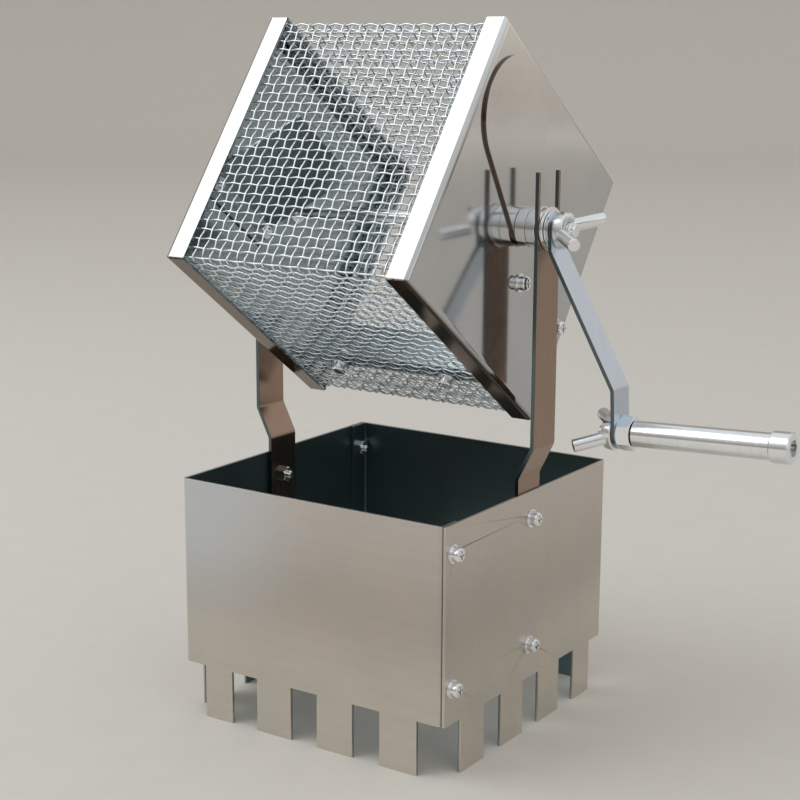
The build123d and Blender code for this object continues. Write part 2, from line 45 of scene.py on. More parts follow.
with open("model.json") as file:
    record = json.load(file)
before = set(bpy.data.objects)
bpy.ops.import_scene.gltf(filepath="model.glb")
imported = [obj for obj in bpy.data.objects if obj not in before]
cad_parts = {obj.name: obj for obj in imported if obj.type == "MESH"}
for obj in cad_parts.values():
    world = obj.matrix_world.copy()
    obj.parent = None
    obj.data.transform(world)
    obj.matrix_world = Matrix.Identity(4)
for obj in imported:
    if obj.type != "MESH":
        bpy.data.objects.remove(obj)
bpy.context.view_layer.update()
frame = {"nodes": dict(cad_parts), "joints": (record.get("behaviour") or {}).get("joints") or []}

MM = 0.001

# ---------------------------------------------------------------- read from the frame
JOINTS = {joint["name"]: joint for joint in frame["joints"]}
SHAFT_CENTER = Vector(JOINTS["drum_spin"]["pos_m"])
HANDLE_CENTER = Vector(JOINTS["handle_wing_nut_turn"]["pos_m"])
SHAFT_WAY = Vector(JOINTS["drum_spin"]["axis"])
HANDLE_WAY = Vector(JOINTS["handle_wing_nut_turn"]["axis"])
STAND_LOW, STAND_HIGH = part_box("front_left_panel")
WALL_INSIDE = STAND_HIGH.x      # the panel's far flange lies inside the other panel's wall

DRUM_TURN = radians(36.3)       # of the drum's square at rest
DRUM_HALF_SIDE = 53.5 * MM
DRUM_UP = Vector((0, sin(DRUM_TURN), cos(DRUM_TURN)))
MESH_MIDDLE = 51.75 * MM        # from the shaft to the middle of the weave
MESH_FOLD = 1.5 * MM            # radius of the weave's middle at the drum's corners
MESH_HALF_LENGTH = 51.5 * MM
SHAFT_THREAD = 16 * MM          # from each end of the shaft
HANDLE_THREAD = 16 * MM         # from the end of the handle's screw
FACE_TURNS = {
    "mesh_top_back": -DRUM_TURN,
    "mesh_front_top": pi / 2 - DRUM_TURN,
    "mesh_bottom_front": pi - DRUM_TURN,
    "mesh_back_bottom": 3 * pi / 2 - DRUM_TURN,
}

# painted light and reflections: tones of a piece from its foot to its top, as the light falls on it: share of
# the height, factor of the colour
DRUM_PAINTED_LIGHT_TONES = (
    (0.0, (0.55, 0.56, 0.60)),
    (0.55, (0.62, 0.62, 0.63)),
    (0.8, (0.70, 0.70, 0.70)),
    (1.0, (0.90, 0.91, 0.92)),
)
STAND_PAINTED_REFLECTION_TONES = (
    (0.0, (0.95, 0.97, 0.97)),
    (0.3, (0.90, 0.91, 0.90)),
    (0.6, (0.75, 0.74, 0.74)),
    (1.0, (0.86, 0.86, 0.89)),
)
# painted reflection of the cool light on the stand's top left
PAINTED_COOL_REFLECTION = (0.66, 0.69, 0.72)  # towards the stand's front left top corner
COOL_REFLECTION_NEAR = 10 * MM             # from the corner, where the patch is full
COOL_REFLECTION_FAR = 75 * MM              # from the corner, where it has faded

FASTENER_EDGE = 0.08 * MM       # bevel of screws, nuts and washers
TURNED_EDGE = 0.18 * MM         # bevel of bushes, collars and the sleeve
COVER_EDGE_SHARE = 0.5          # of the other sheets' bevel
BORE_RADIUS = 3.05 * MM         # of a wing nut
HORN_ROOT_RADIUS = 3.6 * MM     # from the thread's axis to the middle of a wing's root
HORN_ROOT_RISE = 1.64 * MM      # from the nut's seat to the middle of a wing's root

SHEETS = {
    "stand_sheet": ("front_left_panel", "back_right_panel"),
    "strap_steel": ("left_support", "right_support"),
    "arm_steel": ("crank_arm",),
    "polished_sheet": ("left_end_plate", "right_end_plate"),
    "cover_sheet": ("port_cover",),
    "vane_sheet": ("left_vane", "right_vane", "angle_vane"),
}
FASTENERS = (
    "corner_screws",
    "support_screws",
    "stand_spring_washers",
    "stand_flat_washers",
    "stand_nuts",
    "end_vane_screws",
    "mesh_screws",
    "vane_spring_washers",
    "vane_flat_washers",
    "vane_nuts",
    "plate_nuts",
    "crank_washer",
    "left_washer",
    "left_shaft_nut",
    "handle_nut",
)
TURNED_PARTS = ("left_bush", "right_bush", "left_collar", "right_collar", "handle_sleeve")


# ---------------------------------------------------------------- sizes and colours
def length_setting(name, description, default, **limits):
    """A length that a user may change, with its least and greatest value where they matter."""
    return bpy.props.FloatProperty(
        name=name, description=description, default=default, unit="LENGTH", precision=5, **limits
    )


def color_setting(name, description, default):
    """A colour that a user may change."""
    return bpy.props.FloatVectorProperty(
        name=name, description=description, default=default, subtype="COLOR", min=0, max=1
    )


class RoasterWeaveSettings(bpy.types.PropertyGroup):
    """Plain weave of the drum's four faces."""

    wire_diameter: length_setting(
        "Wire diameter", "Diameter of the crimped wire", 0.68 * MM, min=0.3 * MM, max=1.5 * MM
    )
    pitch_along: length_setting(
        "Pitch along the drum",
        "Distance between the wires that run round the drum",
        3.98 * MM,
        min=2 * MM,
        max=10 * MM,
    )
    gaps_across: bpy.props.IntProperty(
        name="Gaps across a face",
        description="Gaps of the weave from one corner of the drum to the next",
        default=26,
        min=8,
        max=60,
    )
    steps: bpy.props.IntProperty(
        name="Steps in a gap",
        description="Straight steps that a wire takes from one crossing to the next",
        default=5,
        min=2,
        max=12,
    )


class RoasterWingNutSettings(bpy.types.PropertyGroup):
    """Cast wing nuts with two round horns."""

    base_diameter: length_setting("Base diameter", "Diameter of the nut's round base", 14 * MM)
    hub_height: length_setting("Hub height", "From the nut's seat to the face around its thread", 4 * MM)
    top_diameter: length_setting("Top diameter", "Diameter of the face around the thread", 12.4 * MM)
    horn_diameter: length_setting("Horn diameter", "Diameter of each round wing", 4.8 * MM)
    tip_radius: length_setting(
        "Tip radius", "From the thread's axis to the middle of a wing's end", 12.3 * MM
    )
    tip_rise: length_setting("Tip rise", "From the nut's seat to the middle of a wing's end", 12.1 * MM)
    flat_distance: length_setting(
        "Flat distance", "From the thread's axis to the flat on each side of the hub", 5.9 * MM
    )
    turn: bpy.props.FloatProperty(
        name="Turn",
        description="Turn of the wings from level at rest",
        default=radians(18.5),
        subtype="ANGLE",
        unit="ROTATION",
    )


class RoasterThreadSettings(bpy.types.PropertyGroup):
    """Screw threads that show past the nuts."""

    diameter: length_setting(
        "Thread diameter", "Outside diameter of the shaft's and handle screw's thread", 6 * MM
    )
    pitch: length_setting("Thread pitch", "Advance of the thread in one turn", 1 * MM)
    depth: length_setting("Thread depth", "From the crest of the thread to its root", 0.5 * MM)
    head_diameter: length_setting(
        "Head diameter", "Diameter of the cap screw's head at the handle's end", 11.2 * MM
    )
    head_length: length_setting("Head length", "Length of the cap screw's head", 7 * MM)
    socket_flats: length_setting("Socket flats", "Across the flats of the cap screw's socket", 5.6 * MM)
    socket_depth: length_setting("Socket depth", "Depth of the cap screw's socket", 3.2 * MM)


class RoasterFinishSettings(bpy.types.PropertyGroup):
    """Colours and grain of the stainless steel, with painted light, reflections and shade."""

    # the stand's colour is its steel's, with a painted warm reflection of the surroundings
    stand_steel_and_reflection_color: color_setting("Stand colour", "Satin steel of the stand", (0.70, 0.66, 0.61))
    strap_color: color_setting("Strap colour", "Steel of the supports", (0.34, 0.24, 0.185))
    # painted shade: the stand's inside is darkened for the shade that falls there
    inside_shade_color: color_setting("Inside colour", "Heat-stained inside of the stand", (0.19, 0.26, 0.28))
    # painted shade on the cut edges of the straps, the arm and the cover
    edge_shade_color: color_setting(
        "Cut edge colour", "Sheared edges of the straps and the arm", (0.12, 0.15, 0.16)
    )
    cover_edge_shade_color: color_setting(
        "Cover edge colour", "Sheared edge of the port cover", (0.17, 0.13, 0.105)
    )
    # painted shade on the drum's flange that faces down and forward
    flange_shade_color: color_setting(
        "Heat tint", "Straw-brown tint of the drum's flange that faces the flame", (0.17, 0.125, 0.095)
    )
    arm_color: color_setting("Arm colour", "Steel of the crank's arm", (0.60, 0.67, 0.76))
    plate_color: color_setting("Drum colour", "Polished steel of the end plates", (0.92, 0.92, 0.91))
    # the vanes' steel, darkened as painted shade of their undersides; the plates' inner faces take it as
    # painted shade too
    vane_steel_and_shade_color: color_setting("Vane colour", "Sheet of the vanes in the drum", (0.36, 0.42, 0.44))
    wire_color: color_setting("Wire colour", "Bright drawn wire", (0.88, 0.93, 0.97))
    bright_color: color_setting(
        "Fastener colour", "Bright screws, nuts, bushes and the handle", (0.90, 0.92, 0.94)
    )
    grain_width: length_setting("Grain width", "Width of a fine brushing line in the sheet", 0.25 * MM)
    edge_round: length_setting("Edge rounding", "Width of the small bevel on cut edges", 0.14 * MM)


class RoasterStageSettings(bpy.types.PropertyGroup):
    """Floor, lights and camera."""

    floor_color: color_setting("Floor colour", "Plain pale floor and backdrop", (0.74, 0.70, 0.64))
    key_power: bpy.props.FloatProperty(
        name="Key light",
        description="Power of the large light above the left front",
        default=8,
        unit="POWER",
    )
    fill_power: bpy.props.FloatProperty(
        name="Fill light",
        description="Power of the soft light on the right",
        default=1.5,
        unit="POWER",
    )
    card_power: bpy.props.FloatProperty(
        name="Card light",
        description="Power of the low card at the back right, which the end plate mirrors",
        default=4,
        unit="POWER",
    )
    world_strength: bpy.props.FloatProperty(
        name="World strength",
        description="Brightness of the plain surroundings",
        default=0.75,
    )


# ---------------------------------------------------------------- helpers for modelling
def start_fresh():
    """Leave edit mode and deselect everything, so that an operator acts only on the new piece."""
    if bpy.context.mode != "OBJECT":
        bpy.ops.object.mode_set(mode="OBJECT")
    bpy.ops.object.select_all(action="DESELECT")


def pick(*objects):
    """Select only these objects; the last one is active."""
    start_fresh()
    for item in objects:
        item.select_set(True)
    bpy.context.view_layer.objects.active = objects[-1]


def set_down(piece, turn=Matrix.Identity(4)):
    """Put a finished piece in its place and leave its object at the origin, unturned and unscaled."""
    pick(piece)
    piece.matrix_world = turn @ piece.matrix_world
    bpy.ops.object.transform_apply(location=True, rotation=True, scale=True)
    return piece


def duplicate(piece, name):
    """A copy with its own mesh."""
    pick(piece)
    bpy.ops.object.duplicate(linked=False)
    copy = bpy.context.active_object
    copy.name = copy.data.name = name
    return copy


def join(pieces, name):
    """Make one object of several."""
    pick(*pieces)
    bpy.ops.object.join()
    joined = bpy.context.active_object
    joined.name = joined.data.name = name
    return joined


def repeat(piece, count, step):
    """Array a piece by a constant step and apply the modifier."""
    array = piece.modifiers.new("repeat", "ARRAY")
    array.count = count
    array.use_relative_offset = False
    array.use_constant_offset = True
    array.constant_offset_displace = step
    pick(piece)
    bpy.ops.object.modifier_apply(modifier=array.name)


def smooth(piece, angle=radians(35)):
    """Smooth shading with sharp edges past the angle."""
    pick(piece)
    bpy.ops.object.shade_smooth_by_angle(angle=angle)


def face_outwards(piece, merge=1e-6):
    """Merge doubles and recalculate the normals."""
    pick(piece)
    bpy.ops.object.mode_set(mode="EDIT")
    bpy.ops.mesh.select_all(action="SELECT")
    bpy.ops.mesh.remove_doubles(threshold=merge)
    bpy.ops.mesh.normals_make_consistent(inside=False)
    bpy.ops.object.mode_set(mode="OBJECT")


def lathe(name, profile, steps=40):
    """Spin a profile of (radius, height) points about Z; it starts and ends on the axis."""
    start_fresh()
    bpy.ops.mesh.primitive_plane_add(size=MM, location=(0, 0, profile[0][1]))
    piece = bpy.context.active_object
    piece.name = piece.data.name = name
    bpy.ops.object.transform_apply(location=True, rotation=False, scale=False)
    bpy.ops.object.mode_set(mode="EDIT")
    bpy.ops.mesh.select_mode(type="VERT")
    bpy.ops.mesh.select_all(action="SELECT")
    bpy.ops.mesh.merge(type="CENTER")
    for (radius, height), (next_radius, next_height) in zip(profile, profile[1:]):
        step = (next_radius - radius, 0, next_height - height)
        bpy.ops.mesh.extrude_vertices_move(TRANSFORM_OT_translate={"value": step})
    bpy.ops.mesh.select_all(action="SELECT")
    bpy.ops.mesh.spin(steps=steps, angle=2 * pi, center=(0, 0, 0), axis=(0, 0, 1))
    bpy.ops.object.mode_set(mode="OBJECT")
    face_outwards(piece)
    return piece


def combine(piece, other, operation):
    """Unite a closed piece with another one or cut it; the other one is used up."""
    change = piece.modifiers.new("combine", "BOOLEAN")
    change.object = other
    change.operation = operation
    change.solver = "EXACT"
    pick(piece)
    bpy.ops.object.modifier_apply(modifier="combine")
    bpy.data.objects.remove(other)


def along(center, way, wing=None):
    """Matrix that takes Z to the given way, X to the wing's direction and the origin to the centre."""
    if wing is None:
        turn = way.to_track_quat("Z", "Y").to_matrix()
    else:
        turn = Matrix((wing, way.cross(wing), way)).transposed()
    return Matrix.Translation(center) @ turn.to_4x4()


def reach(name, center, way):
    """Least and greatest distance of a CAD node from a point, along a direction."""
    node = frame["nodes"][name]
    distances = [(node.matrix_world @ vertex.co - center).dot(way) for vertex in node.data.vertices]
    return min(distances), max(distances)


def wire_along(name, points, radius):
    """A six-sided wire through the points."""
    line = bpy.data.curves.new(name, "CURVE")
    line.dimensions = "3D"
    line.bevel_depth = radius
    line.bevel_resolution = 1
    line.use_fill_caps = True
    spline = line.splines.new("POLY")
    spline.points.add(len(points) - 1)
    for point, place in zip(spline.points, points):
        point.co = (*place, 1)
    wire = bpy.data.objects.new(name, line)
    bpy.context.scene.collection.objects.link(wire)
    pick(wire)
    bpy.ops.object.convert(target="MESH")
    return bpy.context.active_object


def finish_piece(piece, material, body):
    """Give a new piece its material and body."""
    piece.data.materials.clear()
    piece.data.materials.append(material)
    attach(piece, body)


# ---------------------------------------------------------------- shared effects
def group_input(group, name, value, kind="NodeSocketFloat"):
    """One named input of a shader node group."""
    socket = group.interface.new_socket(name=name, in_out="INPUT", socket_type=kind)
    socket.default_value = value


def new_group(name, inputs, outputs):
    """A shader node group with float inputs and outputs; returns it and its two end nodes."""
    group = bpy.data.node_groups.new(name, "ShaderNodeTree")
    for label, value in inputs.items():
        group_input(group, label, value)
    for label in outputs:
        group.interface.new_socket(name=label, in_out="OUTPUT", socket_type="NodeSocketFloat")
    source = group.nodes.new("NodeGroupInput")
    result = group.nodes.new("NodeGroupOutput")
    return group, source, result


def brushed_grain():
    """Fine lines left by brushing; they run along X, Y or Z as the stretch says."""
    name = "brushed grain"
    if name in bpy.data.node_groups:
        return bpy.data.node_groups[name]
    inputs = {"Across X": 1.0, "Across Y": 1.0, "Across Z": 1.0, "Lines per metre": 4000.0}
    group, source, result = new_group(name, inputs, ("Fine", "Broad"))
    nodes, links = group.nodes, group.links
    place = nodes.new("ShaderNodeTexCoord")
    across = nodes.new("ShaderNodeCombineXYZ")
    for axis in "XYZ":
        links.new(source.outputs[f"Across {axis}"], across.inputs[axis])
    stretched = nodes.new("ShaderNodeVectorMath")
    stretched.operation = "MULTIPLY"
    links.new(place.outputs["Object"], stretched.inputs[0])
    links.new(across.outputs["Vector"], stretched.inputs[1])
    for label, share in (("Fine", 1.0), ("Broad", 0.12)):
        scale = nodes.new("ShaderNodeMath")
        scale.operation = "MULTIPLY"
        scale.inputs[1].default_value = share
        links.new(source.outputs["Lines per metre"], scale.inputs[0])
        noise = nodes.new("ShaderNodeTexNoise")
        noise.inputs["Detail"].default_value = 2.0
        noise.inputs["Roughness"].default_value = 0.6
        links.new(stretched.outputs["Vector"], noise.inputs["Vector"])
        links.new(scale.outputs["Value"], noise.inputs["Scale"])
        links.new(noise.outputs["Fac"], result.inputs[label])
    return group


def handling_marks():
    """Soft clouds of handling and fine scratches."""
    name = "handling marks"
    if name in bpy.data.node_groups:
        return bpy.data.node_groups[name]
    group, source, result = new_group(name, {"Clouds per metre": 35.0}, ("Clouds", "Scratches"))
    nodes, links = group.nodes, group.links
    place = nodes.new("ShaderNodeTexCoord")
    clouds = nodes.new("ShaderNodeTexNoise")
    clouds.inputs["Detail"].default_value = 4.0
    clouds.inputs["Roughness"].default_value = 0.55
    links.new(place.outputs["Object"], clouds.inputs["Vector"])
    links.new(source.outputs["Clouds per metre"], clouds.inputs["Scale"])
    links.new(clouds.outputs["Fac"], result.inputs["Clouds"])
    scratch = nodes.new("ShaderNodeTexWave")
    scratch.wave_type = "BANDS"
    scratch.bands_direction = "DIAGONAL"
    scratch.inputs["Scale"].default_value = 90.0
    scratch.inputs["Distortion"].default_value = 22.0
    scratch.inputs["Detail"].default_value = 3.0
    scratch.inputs["Detail Scale"].default_value = 0.7
    links.new(place.outputs["Object"], scratch.inputs["Vector"])
    thin = nodes.new("ShaderNodeMath")
    thin.operation = "POWER"
    thin.inputs[1].default_value = 40.0
    links.new(scratch.outputs["Fac"], thin.inputs[0])
    links.new(thin.outputs["Value"], result.inputs["Scratches"])
    return group


def shaded_edges(nodes, links, color, edge_shade_color, axis, inverted=False):
    """Paints shade on the cut edges of a sheet: the faces that look along the axis, or all others."""
    place = nodes.new("ShaderNodeTexCoord")
    apart = nodes.new("ShaderNodeSeparateXYZ")
    size = nodes.new("ShaderNodeMath")
    size.operation = "ABSOLUTE"
    sheared = nodes.new("ShaderNodeMapRange")
    sheared.inputs["From Min"].default_value = 0.75
    sheared.inputs["From Max"].default_value = 0.9
    sheared.inputs["To Min"].default_value = 1.0 if inverted else 0.0
    sheared.inputs["To Max"].default_value = 0.0 if inverted else 1.0
    edge = nodes.new("ShaderNodeMix")
    edge.data_type = "RGBA"
    edge.inputs["B"].default_value = (*edge_shade_color, 1)
    links.new(place.outputs["Normal"], apart.inputs["Vector"])
    links.new(apart.outputs[axis], size.inputs[0])
    links.new(size.outputs["Value"], sheared.inputs["Value"])
    links.new(sheared.outputs["Result"], edge.inputs["Factor"])
    links.new(color, edge.inputs["A"])
    return edge.outputs["Result"]


def painted_light_by_height(nodes, links, color, low, high, stops):
    """Paints light by height: multiplies a colour by tones that change with height, from low to high."""
    place = nodes.new("ShaderNodeTexCoord")
    apart = nodes.new("ShaderNodeSeparateXYZ")
    height = nodes.new("ShaderNodeMapRange")
    height.inputs["From Min"].default_value = low
    height.inputs["From Max"].default_value = high
    bands = nodes.new("ShaderNodeValToRGB")
    bands.color_ramp.interpolation = "EASE"
    while len(bands.color_ramp.elements) < len(stops):
        bands.color_ramp.elements.new(0.5)
    for element, (position, tone) in zip(bands.color_ramp.elements, stops):
        element.position = position
        element.color = (*tone, 1)
    washed = nodes.new("ShaderNodeVectorMath")
    washed.operation = "MULTIPLY"
    links.new(place.outputs["Object"], apart.inputs["Vector"])
    links.new(apart.outputs["Z"], height.inputs["Value"])
    links.new(height.outputs["Result"], bands.inputs["Fac"])
    links.new(color, washed.inputs[0])
    links.new(bands.outputs["Color"], washed.inputs[1])
    return washed.outputs["Vector"]


def steel(name, color, roughness, stretch, grain=0.5, bump=0.05, clouds=0.35, tint=None, coat=None):
    """Stainless steel: grain and handling marks vary its colour, roughness and surface."""
    if name in bpy.data.materials:
        return bpy.data.materials[name]
    finish = bpy.context.scene.roaster_finish
    material = bpy.data.materials.new(name)
    material.use_nodes = True
    nodes, links = material.node_tree.nodes, material.node_tree.links
    shader = nodes["Principled BSDF"]
    shader.inputs["Metallic"].default_value = 1.0
    lines = nodes.new("ShaderNodeGroup")
    lines.node_tree = brushed_grain()
    for axis, value in zip("XYZ", stretch):
        lines.inputs[f"Across {axis}"].default_value = value
    lines.inputs["Lines per metre"].default_value = 1 / finish.grain_width
    marks = nodes.new("ShaderNodeGroup")
    marks.node_tree = handling_marks()

    def blend(fac, low, high):
        """Mix two numbers by a mask."""
        span = nodes.new("ShaderNodeMapRange")
        span.inputs["From Min"].default_value = 0.3
        span.inputs["From Max"].default_value = 0.7
        span.inputs["To Min"].default_value = low
        span.inputs["To Max"].default_value = high
        links.new(fac, span.inputs["Value"])
        return span.outputs["Result"]

    def add(first, second, operation="ADD"):
        """Join two numbers."""
        total = nodes.new("ShaderNodeMath")
        total.operation = operation
        links.new(first, total.inputs[0])
        links.new(second, total.inputs[1])
        return total.outputs["Value"]

    rough = add(
        blend(lines.outputs["Fine"], roughness * (1 - grain * 0.3), roughness * (1 + grain * 0.3)),
        blend(marks.outputs["Clouds"], -roughness * clouds * 0.4, roughness * clouds * 0.4),
    )
    links.new(rough, shader.inputs["Roughness"])

    tone = add(
        blend(lines.outputs["Broad"], 1 - grain * 0.06, 1 + grain * 0.06),
        blend(marks.outputs["Clouds"], 1 - clouds * 0.12, 1 + clouds * 0.12),
        "MULTIPLY",
    )
    warm = nodes.new("ShaderNodeMix")
    warm.data_type = "RGBA"
    warm.inputs["A"].default_value = (*color, 1)
    warm.inputs["B"].default_value = (*(tint or color), 1)
    links.new(blend(marks.outputs["Clouds"], 0.0, 1.0), warm.inputs["Factor"])
    colored = nodes.new("ShaderNodeVectorMath")
    colored.operation = "SCALE"
    links.new(warm.outputs["Result"], colored.inputs[0])
    links.new(tone, colored.inputs["Scale"])
    color_output = colored.outputs["Vector"]
    if coat:
        color_output = coat(nodes, links, color_output)
    links.new(color_output, shader.inputs["Base Color"])

    surface = nodes.new("ShaderNodeBump")
    surface.inputs["Strength"].default_value = bump
    surface.inputs["Distance"].default_value = 0.1 * MM
    links.new(add(lines.outputs["Fine"], marks.outputs["Scratches"], "SUBTRACT"), surface.inputs["Height"])
    links.new(surface.outputs["Normal"], shader.inputs["Normal"])
    return material


def soften_edges(node, width, segments=2):
    """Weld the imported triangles, round the cut edges and even the shading."""
    weld = node.modifiers.new("weld", "WELD")
    weld.merge_threshold = 1e-6
    bevel = node.modifiers.new("round edges", "BEVEL")
    bevel.width = width
    bevel.segments = segments
    bevel.limit_method = "ANGLE"
    bevel.angle_limit = radians(40)
    bevel.use_clamp_overlap = True
    even = node.modifiers.new("even shading", "WEIGHTED_NORMAL")
    even.keep_sharp = True


def paint(names, material, edge=0.0):
    """Give CAD nodes a material and, where asked, rounded edges."""
    for name in names:
        node = frame["nodes"][name]
        for slot in node.material_slots:
            slot.material = material
        if edge:
            soften_edges(node, edge)


# ---------------------------------------------------------------- operators
class ROASTER_OT_sheet_finish(bpy.types.Operator):
    """Finish the stand, the supports, the drum's plates and the vanes"""

    bl_idname = "roaster.sheet_finish"
    bl_label = "Sheet Finish"

    def execute(self, context):
        finish = context.scene.roaster_finish
        along_x = (0.03, 1, 1)
        edge = finish.edge_round
        stand = steel(
            "satin stand sheet", finish.stand_steel_and_reflection_color, 0.34, along_x, grain=0.4, bump=0.02, clouds=0.3,
            tint=[c * t for c, t in zip(finish.stand_steel_and_reflection_color, (1.04, 1.0, 0.95))], coat=stand_wash,
        )
        strap = steel(
            "strap steel", finish.strap_color, 0.24, (1, 1, 0.03), grain=0.5, bump=0.02, coat=strap_wash
        )
        arm = steel("arm steel", finish.arm_color, 0.24, (1, 1, 0.03), grain=0.4, bump=0.02, coat=strap_wash)
        plate = steel(
            "polished sheet", finish.plate_color, 0.10, along_x, grain=0.2, bump=0.006, clouds=0.4,
            coat=plate_wash,
        )
        cover = steel(
            "cover sheet", finish.plate_color, 0.12, (1, 0.05, 1), grain=0.2, bump=0.006, coat=cover_wash
        )
        vane = steel("vane sheet", finish.vane_steel_and_shade_color, 0.30, along_x, grain=0.5, bump=0.02)
        for names, material in zip(SHEETS.values(), (stand, strap, arm, plate, cover, vane)):
            paint(names, material, edge * COVER_EDGE_SHARE if material is cover else edge)
        return {"FINISHED"}


def strap_wash(nodes, links, color):
    """Painted shade on the sheared edges of the straps and the arm."""
    return shaded_edges(nodes, links, color, bpy.context.scene.roaster_finish.edge_shade_color, "Y")


def drum_painted_light_bands(nodes, links, color):
    """Painted light on the drum's end plates: brighter near the top corner and darker towards the bottom."""
    low = SHAFT_CENTER.z - DRUM_HALF_SIDE * sqrt(2)
    high = SHAFT_CENTER.z + DRUM_HALF_SIDE * sqrt(2)
    # painted light: the plates' colour changes with height as the light falls
    return painted_light_by_height(nodes, links, color, low, high, DRUM_PAINTED_LIGHT_TONES)


def cover_wash(nodes, links, color):
    """The cover takes the plate's painted light tones and a brown painted shade on its cut edge."""
    edge_shade_color = bpy.context.scene.roaster_finish.cover_edge_shade_color
    return shaded_edges(nodes, links, drum_painted_light_bands(nodes, links, color), edge_shade_color, "X", inverted=True)


def plate_wash(nodes, links, color):
    """The plates' painted light tones, painted shade on the flanges that face down and forward, and painted
    shade on the inner faces.
    """
    place = nodes.new("ShaderNodeTexCoord")
    level = nodes.new("ShaderNodeVectorMath")
    level.operation = "DOT_PRODUCT"
    level.inputs[1].default_value = -DRUM_UP
    # painted shade on the flange that faces down and forward
    flange_shade_mask = nodes.new("ShaderNodeMapRange")
    underside = DRUM_HALF_SIDE - SHAFT_CENTER.dot(DRUM_UP)
    flange_shade_mask.inputs["From Min"].default_value = underside - 1.0 * MM
    flange_shade_mask.inputs["From Max"].default_value = underside - 0.2 * MM
    tint = nodes.new("ShaderNodeMix")
    tint.data_type = "RGBA"
    tint.inputs["B"].default_value = (*bpy.context.scene.roaster_finish.flange_shade_color, 1)
    links.new(place.outputs["Object"], level.inputs[0])
    links.new(level.outputs["Value"], flange_shade_mask.inputs["Value"])
    links.new(flange_shade_mask.outputs["Result"], tint.inputs["Factor"])
    links.new(drum_painted_light_bands(nodes, links, color), tint.inputs["A"])
    # painted shade: an inner face looks back towards the middle of the drum and takes the vanes' darker colour
    apart = nodes.new("ShaderNodeSeparateXYZ")
    facing = nodes.new("ShaderNodeSeparateXYZ")
    outward = nodes.new("ShaderNodeMath")
    outward.operation = "MULTIPLY"
    inner = nodes.new("ShaderNodeMapRange")
    inner.inputs["From Min"].default_value = -20 * MM
    inner.inputs["From Max"].default_value = -40 * MM
    inner_face_shade = nodes.new("ShaderNodeMix")
    inner_face_shade.data_type = "RGBA"
    inner_face_shade.inputs["B"].default_value = (*bpy.context.scene.roaster_finish.vane_steel_and_shade_color, 1)
    links.new(place.outputs["Object"], apart.inputs["Vector"])
    links.new(place.outputs["Normal"], facing.inputs["Vector"])
    links.new(apart.outputs["X"], outward.inputs[0])
    links.new(facing.outputs["X"], outward.inputs[1])
    links.new(outward.outputs["Value"], inner.inputs["Value"])
    links.new(inner.outputs["Result"], inner_face_shade.inputs["Factor"])
    links.new(tint.outputs["Result"], inner_face_shade.inputs["A"])
    return inner_face_shade.outputs["Result"]


def stand_wash(nodes, links, color):
    """Paints reflections on the stand by height, a cool painted reflection at one corner and painted shade on
    the inside.
    """
    # painted reflections: the stand's colour changes with height
    washed = painted_light_by_height(nodes, links, color, STAND_LOW.z, STAND_HIGH.z, STAND_PAINTED_REFLECTION_TONES)
    place = nodes.new("ShaderNodeTexCoord")
    apart = nodes.new("ShaderNodeSeparateXYZ")
    links.new(place.outputs["Object"], apart.inputs["Vector"])
    # a painted cool reflection towards the top of the front left corner
    corner = nodes.new("ShaderNodeVectorMath")
    corner.operation = "DISTANCE"
    corner.inputs[1].default_value = (STAND_LOW.x, STAND_LOW.y, STAND_HIGH.z)
    near = nodes.new("ShaderNodeMapRange")
    near.interpolation_type = "SMOOTHSTEP"
    near.inputs["From Min"].default_value = COOL_REFLECTION_NEAR
    near.inputs["From Max"].default_value = COOL_REFLECTION_FAR
    near.inputs["To Min"].default_value = 1.0
    near.inputs["To Max"].default_value = 0.0
    cool_reflection = nodes.new("ShaderNodeMix")
    cool_reflection.data_type = "RGBA"
    cool_reflection.inputs["B"].default_value = (*PAINTED_COOL_REFLECTION, 1)
    links.new(place.outputs["Object"], corner.inputs[0])
    links.new(corner.outputs["Value"], near.inputs["Value"])
    links.new(near.outputs["Result"], cool_reflection.inputs["Factor"])
    links.new(washed, cool_reflection.inputs["A"])
    washed = cool_reflection.outputs["Result"]
    depths = []
    for axis in "XY":
        depth = nodes.new("ShaderNodeMath")
        depth.operation = "ABSOLUTE"
        links.new(apart.outputs[axis], depth.inputs[0])
        depths.append(depth.outputs["Value"])
    deepest = nodes.new("ShaderNodeMath")
    deepest.operation = "MAXIMUM"
    links.new(depths[0], deepest.inputs[0])
    links.new(depths[1], deepest.inputs[1])
    # painted shade on the inner faces of the walls
    outside = nodes.new("ShaderNodeMapRange")
    outside.inputs["From Min"].default_value = WALL_INSIDE + 0.2 * MM
    outside.inputs["From Max"].default_value = WALL_INSIDE + 0.8 * MM
    links.new(deepest.outputs["Value"], outside.inputs["Value"])
    inside_shade_mix = nodes.new("ShaderNodeMix")
    inside_shade_mix.data_type = "RGBA"
    inside_shade_mix.inputs["A"].default_value = (*bpy.context.scene.roaster_finish.inside_shade_color, 1)
    links.new(outside.outputs["Result"], inside_shade_mix.inputs["Factor"])
    links.new(washed, inside_shade_mix.inputs["B"])
    return inside_shade_mix.outputs["Result"]


class ROASTER_OT_hardware_finish(bpy.types.Operator):
    """Finish the screws, nuts, washers, bushes, collars and the handle's sleeve"""

    bl_idname = "roaster.hardware_finish"
    bl_label = "Hardware Finish"

    def execute(self, context):
        finish = context.scene.roaster_finish
        bright = steel("bright fasteners", finish.bright_color, 0.16, (1, 1, 1), grain=0.2, bump=0.02)
        turned = steel("turned steel", finish.bright_color, 0.17, (1, 0.02, 0.02), grain=0.6, bump=0.03)
        paint(FASTENERS, bright, FASTENER_EDGE)
        paint(TURNED_PARTS, turned, TURNED_EDGE)
        return {"FINISHED"}


